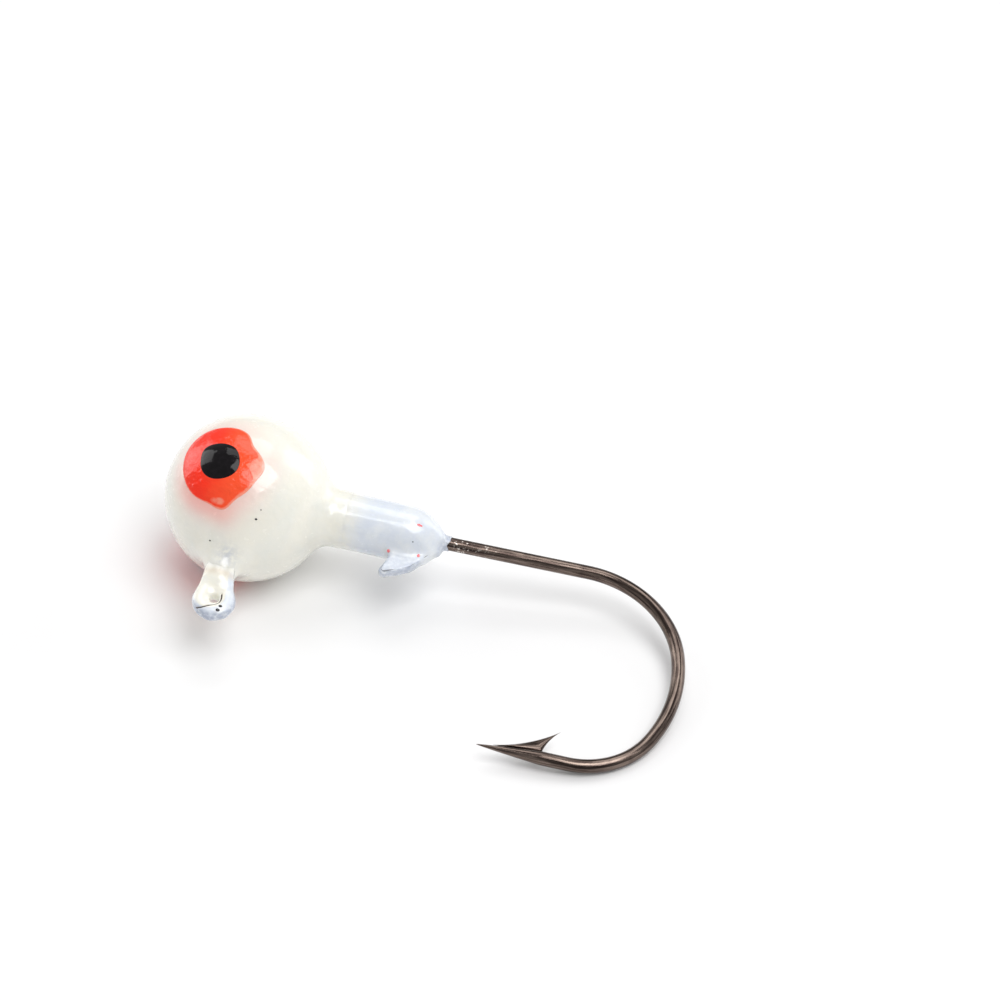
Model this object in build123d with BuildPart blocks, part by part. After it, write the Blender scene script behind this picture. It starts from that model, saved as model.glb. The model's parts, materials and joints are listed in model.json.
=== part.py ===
from build123d import *

import os
from math import asin, atan2, cos, degrees, radians, sin, sqrt

# A round ball jig head: a 90 degree jig hook with a lead ball, collar and bait keeper cast round
# it, a thin white base coat, a cream second coat over the ball, and an eye painted on each side.
#
# Every piece is built as fished, in millimetres, with the middle of the ball at the origin: X runs
# back along the collar and the shank, Y up to the line tie and the point, and Z to the jig's left.
# At the end all pieces are laid down together on the jig's left side, as it rests on a table.

# ---- Driving dimensions, in millimetres and degrees ----

# Paint: each coat's thickness, over the bare lead and wire.
BASE_COAT = 0.10
GLOW_COAT = 0.10
IRIS_COAT = 0.06
PUPIL_EDGE = 0.04
PUPIL_CROWN = 0.22

# Casting.
PAINTED_BALL_RADIUS = 6.50
BALL_RADIUS = PAINTED_BALL_RADIUS - BASE_COAT - GLOW_COAT
COLLAR_RADIUS = 2.11
COLLAR_ROOT_FILLET = 1.30
SHOULDER_X = 12.60
NOSE_X = 15.30
NOSE_RADIUS = 0.76
NOSE_END_X = 15.40
NOSE_END_RADIUS = 0.66
GLOW_END_X = 7.90
CUFF_END_X = 16.00
CUFF_END_RADIUS = 0.62

# Neck of lead round the wire, where the line tie leaves the ball.
NECK_ROOT_Y = 5.40
NECK_TOP_Y = 9.10
NECK_ROOT_RADIUS = 1.16
NECK_TOP_RADIUS = 0.80

# Bait keeper: a flat fin under the collar's rear end, swept forward to a blunt tip.
KEEPER_HALF_THICKNESS = 0.40
KEEPER_TIP = (11.31, 4.59)
KEEPER_TIP_RADIUS = 0.26
KEEPER_HEEL = (13.60, 3.30)
KEEPER_FRONT = (11.85, 2.90)
KEEPER_REAR = (15.28, 1.05)

# Hook wire and line tie: the ring's middle stands a little behind its leg.
WIRE_RADIUS = 0.53
LEG_X = -0.25
TIE_X = 0.0
TIE_Y = 10.45
TIE_RING_RADIUS = 1.05
TIE_WIRE_RADIUS = 0.54
TIE_PAINTED_WIRE_RADIUS = 0.61
TIE_HOLE_RADIUS = 0.42
TIE_FILM_THICKNESS = 0.50
LEG_LENGTH = 7.42
ELBOW_RADIUS = 1.60
SHANK_DROP = 1.7
SHANK_LENGTH = 25.59

# The bend, as round stretches of (radius, turn) that follow the shank.
BEND = ((8.38, 75.8), (12.20, 40.4), (6.15, 64.6))
LIMB_LENGTH = 1.90
POINT_LENGTH = 4.98
POINT_TIP_RADIUS = 0.03

# Barb: a thin spur raised from the point, its tip towards the shank and the bend.
BARB_HALF_THICKNESS = 0.16
BARB_START = (23.55, 17.55)
BARB_TIP = (28.03, 15.04)
BARB_ROOT = (27.10, 17.40)
BARB_SAG = 0.27

# Painted eyes: where each one faces, seen from the middle of the ball, and how wide it is.
IRIS_FACING = (-0.348, 0.263, 0.900)
PUPIL_FACING = (-0.327, 0.258, 0.909)
IRIS_RADIUS = 3.28
PUPIL_RADIUS = 1.63

# Rest: the shank runs down to the bend, and the line tie and the point lean down too.
REST_PITCH = 6.70
REST_ROLL = 7.67

LEFT = 1
RIGHT = -1
SHANK_AXIS = Axis((0, 0, 0), (1, 0, 0))
LEG_AXIS = Axis((LEG_X, 0, 0), (0, 1, 0))


# ---- Hook: one wire with a line tie, a 90 degree elbow, a shank, a bend, a barb and a point ----


def away(start, heading, length):
    """Point a length away from start, at a heading in degrees from the X axis."""
    return start[0] + length * cos(radians(heading)), start[1] + length * sin(radians(heading))


def straight(start, heading, length):
    """Straight stretch of wire, and where it ends."""
    end = away(start, heading, length)
    Line(start, end)
    return end


def turn(start, heading, radius, angle):
    """Round stretch of wire that turns left by angle, where it ends and its new heading."""
    centre = away(start, heading + 90, radius)
    CenterArc(centre, radius, heading - 90, angle)
    return away(centre, heading - 90 + angle, radius), heading + angle


tie_start = (LEG_X, TIE_Y - sqrt(TIE_RING_RADIUS**2 - (TIE_X - LEG_X) ** 2))
with BuildLine() as wire:
    leg_end = straight(tie_start, -90, LEG_LENGTH)
    place, way = turn(leg_end, -90, ELBOW_RADIUS, 90 - SHANK_DROP)
    place = straight(place, way, SHANK_LENGTH)
    for bend_radius, bend_angle in BEND:
        place, way = turn(place, way, bend_radius, bend_angle)
    limb_end = straight(place, way, LIMB_LENGTH)
limb_way = Vector(cos(radians(way)), sin(radians(way)), 0)
point_plane = Plane((*limb_end, 0), x_dir=(0, 0, 1), z_dir=limb_way)

with BuildPart() as hook:
    # wire
    with BuildSketch(Plane((*tie_start, 0), z_dir=(0, -1, 0))):
        Circle(WIRE_RADIUS)
    sweep(path=wire.line)
    # line tie
    with BuildSketch(Plane((TIE_X, TIE_Y, 0), x_dir=(1, 0, 0), z_dir=(0, -1, 0))):
        with Locations((TIE_RING_RADIUS, 0)):
            Circle(TIE_WIRE_RADIUS)
    revolve(axis=Axis((TIE_X, TIE_Y, 0), (0, 0, 1)))
    # point: a long cone
    with BuildSketch(point_plane):
        Circle(WIRE_RADIUS)
    with BuildSketch(point_plane.offset(POINT_LENGTH)):
        Circle(POINT_TIP_RADIUS)
    loft()
    # barb
    with BuildSketch():
        with BuildLine():
            SagittaArc(BARB_START, BARB_TIP, BARB_SAG)
            SagittaArc(BARB_TIP, BARB_ROOT, -BARB_SAG / 2)
            Line(BARB_ROOT, BARB_START)
        make_face()
    extrude(amount=BARB_HALF_THICKNESS, both=True)
hook.part.label = "hook"


# ---- Lead casting: ball, collar with a rounded nose, neck and bait keeper ----


def turned_body(skin, end_x, end_radius):
    """Ball and collar with a skin of paint, turned round the shank, tapering to end_x."""
    ball = BALL_RADIUS + skin
    collar = COLLAR_RADIUS + skin
    joint_x = sqrt(ball**2 - collar**2)
    joint_angle = degrees(asin(collar / ball))
    with BuildPart() as body:
        with BuildSketch() as profile:
            with BuildLine():
                CenterArc((0, 0), ball, joint_angle, 180 - joint_angle)
                Line((joint_x, collar), (SHOULDER_X, collar))
                TangentArc((SHOULDER_X, collar), (NOSE_X, NOSE_RADIUS + skin), tangent=(1, 0))
                Polyline((NOSE_X, NOSE_RADIUS + skin), (end_x, end_radius), (end_x, 0), (-ball, 0))
            make_face()
            root = profile.vertices().sort_by_distance((joint_x, collar, 0))[0]
            fillet(root, COLLAR_ROOT_FILLET - skin)
        revolve(axis=SHANK_AXIS)
    return body.part


def neck_and_keeper(skin):
    """Neck round the line tie's leg and the keeper fin, both with a skin of paint."""
    with BuildPart() as shape:
        with BuildSketch():
            with BuildLine():
                Polyline(
                    (LEG_X, NECK_ROOT_Y),
                    (LEG_X + NECK_ROOT_RADIUS + skin, NECK_ROOT_Y),
                    (LEG_X + NECK_TOP_RADIUS + skin, NECK_TOP_Y + skin),
                    (LEG_X, NECK_TOP_Y + skin),
                    close=True,
                )
            make_face()
        revolve(axis=LEG_AXIS)
        with BuildSketch() as fin:
            with BuildLine():
                Polyline(
                    (KEEPER_FRONT[0], 0),
                    KEEPER_FRONT,
                    KEEPER_TIP,
                    KEEPER_HEEL,
                    KEEPER_REAR,
                    (KEEPER_REAR[0], 0),
                    close=True,
                )
            make_face()
            fillet(fin.vertices().sort_by_distance((*KEEPER_TIP, 0))[0], KEEPER_TIP_RADIUS)
            if skin:
                offset(amount=skin)
        extrude(amount=KEEPER_HALF_THICKNESS + skin, both=True)
    return shape.part


bare_body = turned_body(0, NOSE_END_X, NOSE_END_RADIUS)
bare_details = neck_and_keeper(0)

with BuildPart() as lead_head:
    add(bare_body)
    add(bare_details)
    add(hook.part, mode=Mode.SUBTRACT)
lead_head.part.label = "lead_head"


# ---- Base coat: thin white dip over the casting, the line tie and the first of the shank ----

based_body = turned_body(BASE_COAT, CUFF_END_X, CUFF_END_RADIUS)
based_details = neck_and_keeper(BASE_COAT)

with BuildPart() as base_coat:
    add(based_body)
    add(based_details)
    # painted line tie, with a web of paint that rounds its hole
    with BuildSketch(Plane((TIE_X, TIE_Y, 0), x_dir=(1, 0, 0), z_dir=(0, -1, 0))):
        with Locations((TIE_RING_RADIUS, 0)):
            Circle(TIE_PAINTED_WIRE_RADIUS)
    revolve(axis=Axis((TIE_X, TIE_Y, 0), (0, 0, 1)))
    with BuildSketch():
        with Locations((TIE_X, TIE_Y)):
            Circle(TIE_RING_RADIUS)
    extrude(amount=TIE_FILM_THICKNESS / 2, both=True)
    with BuildSketch():
        with Locations((TIE_X, TIE_Y)):
            Circle(TIE_HOLE_RADIUS)
    extrude(amount=TIE_PAINTED_WIRE_RADIUS, both=True, mode=Mode.SUBTRACT)
    add(bare_body, mode=Mode.SUBTRACT)
    add(bare_details, mode=Mode.SUBTRACT)
    add(hook.part, mode=Mode.SUBTRACT)
base_coat.part.label = "base_coat"


# ---- Glow coat: cream second dip over the ball, which ends at the collar's root ----

glow_body = turned_body(BASE_COAT + GLOW_COAT, NOSE_END_X, NOSE_END_RADIUS)

with BuildPart() as glow_coat:
    add(glow_body)
    split(bisect_by=Plane((GLOW_END_X, 0, 0), x_dir=(0, 1, 0), z_dir=(-1, 0, 0)), keep=Keep.TOP)
    add(based_body, mode=Mode.SUBTRACT)
    add(based_details, mode=Mode.SUBTRACT)
glow_coat.part.label = "glow_coat"


# ---- Eyes: a flat iris on the glow coat with a domed pupil on it, on each side ----


def painted_spot(facing, side, inner_radius, spot_radius, edge, crown):
    """Round spot of paint on the ball: edge thick at its rim and crown thick in the middle."""
    outward = Vector(facing[0], facing[1], side * facing[2]).normalized()
    across = outward.cross(Vector(0, 1, 0)).normalized()
    angle = asin(spot_radius / inner_radius)
    rim_radius = inner_radius + edge
    rim = (rim_radius * cos(angle), rim_radius * sin(angle))
    foot = (inner_radius * cos(angle), inner_radius * sin(angle))
    top = (inner_radius + crown, 0)
    rise = top[0] - rim[0]
    dome_radius = (rise**2 + rim[1] ** 2) / (2 * rise)
    dome_middle_x = top[0] - dome_radius
    dome_angle = degrees(atan2(rim[1], rim[0] - dome_middle_x))
    with BuildPart() as spot:
        with BuildSketch(Plane((0, 0, 0), x_dir=outward, z_dir=across)):
            with BuildLine():
                CenterArc((dome_middle_x, 0), dome_radius, 0, dome_angle)
                Line(rim, foot)
                CenterArc((0, 0), inner_radius, 0, degrees(angle))
                Line((inner_radius, 0), top)
            make_face()
        revolve(axis=Axis((0, 0, 0), outward))
    return spot


iris_floor = PAINTED_BALL_RADIUS
pupil_floor = iris_floor + IRIS_COAT

iris_right = painted_spot(IRIS_FACING, RIGHT, iris_floor, IRIS_RADIUS, IRIS_COAT, IRIS_COAT)
iris_right.part.label = "iris_right"
iris_left = painted_spot(IRIS_FACING, LEFT, iris_floor, IRIS_RADIUS, IRIS_COAT, IRIS_COAT)
iris_left.part.label = "iris_left"
pupil_right = painted_spot(PUPIL_FACING, RIGHT, pupil_floor, PUPIL_RADIUS, PUPIL_EDGE, PUPIL_CROWN)
pupil_right.part.label = "pupil_right"
pupil_left = painted_spot(PUPIL_FACING, LEFT, pupil_floor, PUPIL_RADIUS, PUPIL_EDGE, PUPIL_CROWN)
pupil_left.part.label = "pupil_left"


# ---- Rest: laid on the left side, with the middle of the footprint at the origin ----

pieces = [hook, lead_head, base_coat, glow_coat, iris_right, iris_left, pupil_right, pupil_left]

shank_way = Vector(cos(radians(REST_PITCH)), 0, -sin(radians(REST_PITCH)))
above_shank = Vector(sin(radians(REST_PITCH)), 0, cos(radians(REST_PITCH)))
tie_way = Vector(0, -1, 0) * cos(radians(REST_ROLL)) - above_shank * sin(radians(REST_ROLL))
laid_down = Plane((0, 0, 0), x_dir=shank_way, z_dir=shank_way.cross(tie_way)).location

for piece in pieces:
    piece.part.move(laid_down)
bounds = Compound([piece.part for piece in pieces]).bounding_box()
to_origin = Location((-bounds.center().X, -bounds.center().Y, -bounds.min.Z))

os.makedirs("parts", exist_ok=True)
for piece in pieces:
    piece.part.move(to_origin)
    export_step(piece.part, "parts/" + piece.part.label + ".step")
    low = piece.part.bounding_box().min.Z
    print(piece.part.label, "volume", round(piece.part.volume, 3), "lowest", round(low, 3))

resting = to_origin * laid_down
tie_centre = (resting * Location((TIE_X, TIE_Y, 0))).position
ball_centre = (resting * Location((0, 0, 0))).position
print("line tie", tie_centre, "along", tie_way.cross(shank_way), "ball", ball_centre)
print("box", bounds.size)
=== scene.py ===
"""A painted ball jig head: hook, dipped coats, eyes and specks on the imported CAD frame."""

import json
import logging
import math
from dataclasses import dataclass, field
from enum import Enum
from typing import Callable, Iterable

import bmesh
import bpy
import numpy as np
from mathutils import Matrix, Vector


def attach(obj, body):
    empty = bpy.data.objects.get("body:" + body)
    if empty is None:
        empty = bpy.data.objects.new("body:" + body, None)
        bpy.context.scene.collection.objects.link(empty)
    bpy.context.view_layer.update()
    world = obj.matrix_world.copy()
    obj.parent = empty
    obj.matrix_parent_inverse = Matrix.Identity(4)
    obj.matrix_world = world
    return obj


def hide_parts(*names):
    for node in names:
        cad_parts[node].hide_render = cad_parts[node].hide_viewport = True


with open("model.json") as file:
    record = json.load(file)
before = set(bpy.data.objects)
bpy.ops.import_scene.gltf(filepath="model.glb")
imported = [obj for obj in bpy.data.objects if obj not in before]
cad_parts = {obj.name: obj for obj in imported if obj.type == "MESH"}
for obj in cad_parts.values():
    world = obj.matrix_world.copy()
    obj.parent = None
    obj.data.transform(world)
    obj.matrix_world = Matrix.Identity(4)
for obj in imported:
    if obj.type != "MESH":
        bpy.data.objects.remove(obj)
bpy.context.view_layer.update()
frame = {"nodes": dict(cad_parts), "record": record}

MM = 0.001
ROOT = "root"
log = logging.getLogger("jig_head")

Field = Callable[[np.ndarray], np.ndarray]


class Side(Enum):
    """Side of the jig, by the sign of the as-fished Z axis."""

    RIGHT = -1
    LEFT = 1


class Slot(Enum):
    """The record's material slots."""

    HOOK = "hook_wire"
    BASE = "base_coat_paint"
    GLOW = "glow_coat_paint"
    IRIS = "iris_paint"
    PUPIL = "pupil_paint"


# ---- Frame: as-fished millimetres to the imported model's metres ----


@dataclass(frozen=True)
class JigFrame:
    """As-fished axes: X back along the shank, Y up to the line tie, Z to the jig's left.

    The origin is the middle of the ball, and lengths are millimetres.
    """

    origin: np.ndarray
    axes: np.ndarray

    @classmethod
    def from_record(cls, record: dict, collar_from_ball: float = 10.25) -> "JigFrame":
        """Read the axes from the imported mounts.

        Args:
            record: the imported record.
            collar_from_ball: distance from the ball's middle to the collar's mount.

        Returns:
            The frame that turns as-fished places into the model's.
        """
        mounts = {mount["name"]: mount for mount in record["mounts"]}
        shank = np.array(mounts["bait_collar"]["axis"], float)
        shank /= np.linalg.norm(shank)
        left = -np.array(mounts["line_tie"]["axis"], float)
        left -= shank * (left @ shank)
        left /= np.linalg.norm(left)
        up = np.cross(left, shank)
        origin = np.array(mounts["bait_collar"]["pos_m"]) - shank * collar_from_ball * MM
        return cls(origin, np.stack([shank, up, left]))

    def world(self, places: np.ndarray) -> np.ndarray:
        """Model places, in metres, of as-fished places."""
        return self.origin + np.asarray(places, float) @ self.axes * MM

    def mapping(self) -> tuple[Vector, tuple[float, float, float]]:
        """Location and rotation that turn scaled model places into as-fished ones."""
        turn = Matrix(self.axes.tolist())
        return turn @ Vector(self.origin) * (-1 / MM), tuple(turn.to_euler())


JIG = JigFrame.from_record(frame["record"])


# ---- Implicit shapes: distance fields that run into each other as wet paint does ----


def smooth_union(a: np.ndarray, b: np.ndarray, blend: float) -> np.ndarray:
    """Union of two fields with a fillet about as wide as blend."""
    share = np.clip(0.5 + 0.5 * (b - a) / blend, 0, 1)
    return b * (1 - share) + a * share - blend * share * (1 - share)


def smooth_meet(a: np.ndarray, b: np.ndarray, blend: float) -> np.ndarray:
    """Intersection of two fields with a rounded edge."""
    return -smooth_union(-a, -b, blend)


def ease(low: float, high: float, value: np.ndarray) -> np.ndarray:
    """Smooth step from 0 at low to 1 at high."""
    share = np.clip((value - low) / (high - low), 0, 1)
    return share * share * (3 - 2 * share)


def polygon_distance(x: np.ndarray, y: np.ndarray, corners: list[tuple[float, float]]) -> np.ndarray:
    """Signed distance to a closed polygon, negative inside.

    Args:
        x: first coordinates.
        y: second coordinates.
        corners: the polygon's corners in order.

    Returns:
        One distance for each place.
    """
    nearest = np.full(x.shape, np.inf)
    inside = np.zeros(x.shape, bool)
    for (ax, ay), (bx, by) in zip(corners, corners[1:] + corners[:1]):
        ex, ey = bx - ax, by - ay
        share = np.clip(((x - ax) * ex + (y - ay) * ey) / (ex * ex + ey * ey), 0, 1)
        nearest = np.minimum(nearest, np.hypot(x - ax - share * ex, y - ay - share * ey))
        crosses = (ay > y) != (by > y)
        inside ^= crosses & (x < ax + (y - ay) * ex / np.where(ey == 0, 1e-9, ey))
    return np.where(inside, -nearest, nearest)


def gradient(shape: Field, places: np.ndarray, step: float) -> np.ndarray:
    """Slope of a field by central differences."""
    slopes = [(shape(places + step * e) - shape(places - step * e)) / (2 * step) for e in np.eye(3)]
    return np.stack(slopes, 1)


@dataclass(frozen=True)
class SurfaceNet:
    """Closed quad mesh of a field's zero surface inside a box, settled onto the surface."""

    low: tuple[float, float, float]
    high: tuple[float, float, float]
    cell: float
    settle_steps: int = 3

    def build(self, shape: Field) -> tuple[np.ndarray, np.ndarray, np.ndarray]:
        """Mesh the field.

        Args:
            shape: field to mesh, negative inside.

        Returns:
            Vertex places, quads that face outwards, and vertex normals.
        """
        low, high = np.array(self.low), np.array(self.high)
        counts = np.ceil((high - low) / self.cell).astype(int) + 1
        axes = [low[i] + self.cell * np.arange(counts[i]) for i in range(3)]
        grid = np.stack(np.meshgrid(*axes, indexing="ij"), -1).reshape(-1, 3)
        values = shape(grid).reshape(counts)
        cells = counts - 1
        sums, hits = np.zeros((cells.prod(), 3)), np.zeros(cells.prod())
        edges = []
        for w in range(3):
            u, v = (w + 1) % 3, (w + 2) % 3
            first = np.take(values, range(counts[w] - 1), w)
            last = np.take(values, range(1, counts[w]), w)
            at = np.argwhere((first < 0) != (last < 0))
            a, b = first[tuple(at.T)], last[tuple(at.T)]
            place = low + self.cell * at
            place[:, w] += self.cell * a / (a - b)
            corner_cells = []
            for du, dv in ((-1, -1), (0, -1), (0, 0), (-1, 0)):
                cell = at.copy()
                cell[:, u] += du
                cell[:, v] += dv
                index = np.ravel_multi_index(cell.T, cells)
                np.add.at(sums, index, place)
                np.add.at(hits, index, 1)
                corner_cells.append(index)
            quad = np.stack(corner_cells, 1)
            edges.append(np.where((a < 0)[:, None], quad, quad[:, ::-1]))
        used = np.flatnonzero(hits)
        number = np.full(len(hits), -1)
        number[used] = np.arange(len(used))
        places = sums[used] / hits[used, None]
        for _ in range(self.settle_steps):
            slope = gradient(shape, places, self.cell / 4)
            steep = (slope**2).sum(1, keepdims=True)
            places -= np.clip(shape(places)[:, None] * slope / steep, -self.cell, self.cell)
        slope = gradient(shape, places, self.cell / 4)
        normals = slope / np.linalg.norm(slope, axis=1, keepdims=True)
        return places, number[np.concatenate(edges)], normals


# ---- Pieces ----


def make_piece(
    name: str,
    places: np.ndarray,
    faces: Iterable[Iterable[int]],
    material: bpy.types.Material,
    normals: np.ndarray | None = None,
    marks: dict[str, np.ndarray] | None = None,
) -> bpy.types.Object:
    """Make a smooth mesh piece from as-fished places.

    Args:
        name: the piece's name.
        places: vertex places, in as-fished millimetres.
        faces: vertex numbers of each face.
        material: its finish.
        normals: vertex normals, where the shape knows them exactly.
        marks: named values, one for each vertex, that the finish reads.

    Returns:
        The linked object.
    """
    mesh = bpy.data.meshes.new(name)
    faces = faces.tolist() if isinstance(faces, np.ndarray) else list(faces)
    mesh.from_pydata(JIG.world(places).tolist(), [], faces)
    mesh.polygons.foreach_set("use_smooth", [True] * len(mesh.polygons))
    for mark, values in (marks or {}).items():
        mesh.attributes.new(mark, "FLOAT", "POINT").data.foreach_set("value", values.astype(np.float32))
    mesh.materials.append(material)
    mesh.update()
    if normals is not None:
        mesh.normals_split_custom_set_from_vertices((normals @ JIG.axes).tolist())
    piece = bpy.data.objects.new(name, mesh)
    bpy.context.scene.collection.objects.link(piece)
    return piece


def settle(piece: bpy.types.Object, slot: Slot, *nodes: str) -> bpy.types.Object:
    """Ride a finished piece on the root body and hide the CAD nodes it replaces."""
    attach(piece, ROOT)
    if nodes:
        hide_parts(*nodes)
    log.info("%s: %d faces", piece.name, len(piece.data.polygons))
    return piece


def polar_faces(rings: int, spokes: int) -> list[tuple[int, ...]]:
    """Faces of rings of vertices from one pole, over the rim, to the pole behind.

    Args:
        rings: rings of vertices between the poles.
        spokes: vertices in a ring.

    Returns:
        Triangles at both poles and quads between them.
    """
    faces: list[tuple[int, ...]] = []
    last = 1 + rings * spokes
    tail = last - spokes
    for j in range(spokes):
        k = (j + 1) % spokes
        faces.append((0, 1 + j, 1 + k))
        for i in range(rings - 1):
            a, b = 1 + i * spokes, 1 + (i + 1) * spokes
            faces.append((a + j, b + j, b + k, a + k))
        faces.append((last, tail + k, tail + j))
    return faces


# ---- Node trees ----


class Sketch:
    """Short hand for building one shader tree."""

    def __init__(self, name: str) -> None:
        """Start a material and keep only its output."""
        self.material = bpy.data.materials.new(name)
        self.material.use_nodes = True
        self.tree = self.material.node_tree
        self.tree.nodes.clear()

    def node(self, kind: str, inputs: dict | None = None, **settings: object) -> bpy.types.Node:
        """Add a node.

        Args:
            kind: the node's type name, without ShaderNode.
            inputs: values or sockets by input name or number.
            settings: attributes to set on the node.

        Returns:
            The new node.
        """
        made = self.tree.nodes.new("ShaderNode" + kind)
        for key, value in settings.items():
            setattr(made, key, value)
        for key, value in (inputs or {}).items():
            self.feed(made.inputs[key], value)
        return made

    def feed(self, socket: bpy.types.NodeSocket, value: object) -> None:
        """Link a socket, or set its value."""
        if isinstance(value, bpy.types.NodeSocket):
            self.tree.links.new(value, socket)
        else:
            socket.default_value = (*value, 1.0) if socket.type == "RGBA" and len(value) == 3 else value

    def math(self, operation: str, a: object, b: object = 0.0, c: object = 0.0) -> bpy.types.NodeSocket:
        """One maths node's result."""
        return self.node("Math", {0: a, 1: b, 2: c}, operation=operation).outputs[0]

    def step(
        self, value: object, low: float, high: float, to_low: float = 0.0, to_high: float = 1.0
    ) -> bpy.types.NodeSocket:
        """Smooth step of a value from to_low at low to to_high at high."""
        inputs = {"Value": value, "From Min": low, "From Max": high, "To Min": to_low, "To Max": to_high}
        return self.node("MapRange", inputs, interpolation_type="SMOOTHSTEP").outputs["Result"]

    def mix(self, share: object, a: object, b: object) -> bpy.types.NodeSocket:
        """Blend of two colours; the mix node's colour sockets are its numbers 6, 7 and 2."""
        return self.node("Mix", {0: share, 6: a, 7: b}, data_type="RGBA").outputs[2]

    def noise(
        self, place: object, scale: float, detail: float = 3.0, rough: float = 0.55
    ) -> bpy.types.NodeSocket:
        """Noise value over a place."""
        inputs = {"Vector": place, "Scale": scale, "Detail": detail, "Roughness": rough}
        return self.node("TexNoise", inputs).outputs["Fac"]

    def mark(self, name: str) -> bpy.types.NodeSocket:
        """Value of a vertex mark."""
        return self.node("Attribute", attribute_name=name, attribute_type="GEOMETRY").outputs["Fac"]

    def fished(self) -> bpy.types.NodeSocket:
        """As-fished place, in millimetres."""
        location, rotation = JIG.mapping()
        place = self.node("TexCoord").outputs["Object"]
        inputs = {"Vector": place, "Location": location, "Rotation": rotation, "Scale": (1 / MM,) * 3}
        return self.node("Mapping", inputs, vector_type="POINT").outputs["Vector"]

    def axes(self, place: object) -> bpy.types.NodeOutputs:
        """The three parts of a place."""
        return self.node("SeparateXYZ", {"Vector": place}).outputs

    def bump(self, height: object, depth_mm: float) -> bpy.types.NodeSocket:
        """Normal of a height in which 1 stands depth_mm high."""
        inputs = {"Height": height, "Strength": 1.0, "Distance": depth_mm * MM}
        return self.node("Bump", inputs).outputs["Normal"]

    def finish(self, **inputs: object) -> bpy.types.Material:
        """Close the tree with one principled shader; underscores in names stand for spaces."""
        values = {key.replace("_", " "): value for key, value in inputs.items()}
        shader = self.node("BsdfPrincipled", values)
        self.node("OutputMaterial", {"Surface": shader.outputs["BSDF"]})
        return self.material


# ---- Eyes' outlines ----


@dataclass(frozen=True)
class Lobe:
    """Where hand-laid paint swells past its round edge, or falls short of it."""

    turn: float
    spread: float
    swell: float


@dataclass(frozen=True)
class Outline:
    """Round edge with soft lobes: turns and spreads in degrees from the collar towards the line tie."""

    radius: float
    lobes: tuple[Lobe, ...]

    def reach(self, turn: np.ndarray) -> np.ndarray:
        """Arc distance of the edge in each direction, which is given in radians."""
        total = np.full(np.shape(turn), self.radius)
        for lobe in self.lobes:
            apart = np.angle(np.exp(1j * (turn - math.radians(lobe.turn))))
            total = total + lobe.swell * np.exp(-((apart / math.radians(lobe.spread)) ** 2))
        return total


IRIS_FACING = (-0.348, 0.263, 0.900)
PUPIL_FACING = (-0.327, 0.258, 0.909)
IRIS_OUTLINE = Outline(
    3.35,
    (
        Lobe(-145, 34, 0.37), Lobe(-38, 17, -0.33), Lobe(-1, 17, 0.42),
        Lobe(36, 22, 0.20), Lobe(74, 15, 0.60), Lobe(148, 30, -0.12),
    ),
)
PUPIL_OUTLINE = Outline(1.57, (Lobe(-150, 24, 0.24), Lobe(-82, 34, -0.12), Lobe(24, 34, 0.19)))


# ---- Finishes ----


@dataclass(frozen=True)
class EyePlace:
    """Where an eye's paint sits on the ball, as-fished."""

    facing: tuple[float, float, float]
    side: Side
    outline: Outline

    def edge(self, turn: np.ndarray) -> np.ndarray:
        """Arc distance of the outline in each direction."""
        return self.outline.reach(turn)

    def axes(self) -> tuple[np.ndarray, np.ndarray, np.ndarray]:
        """Outward direction, and the two directions along the ball to the collar and the line tie."""
        out = np.array([self.facing[0], self.facing[1], self.side.value * self.facing[2]])
        out /= np.linalg.norm(out)
        back = np.array([1.0, 0, 0]) - out * out[0]
        back /= np.linalg.norm(back)
        tie = np.array([0, 1.0, 0]) - out * out[1]
        tie -= back * (tie @ back)
        return out, back, tie / np.linalg.norm(tie)


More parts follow.
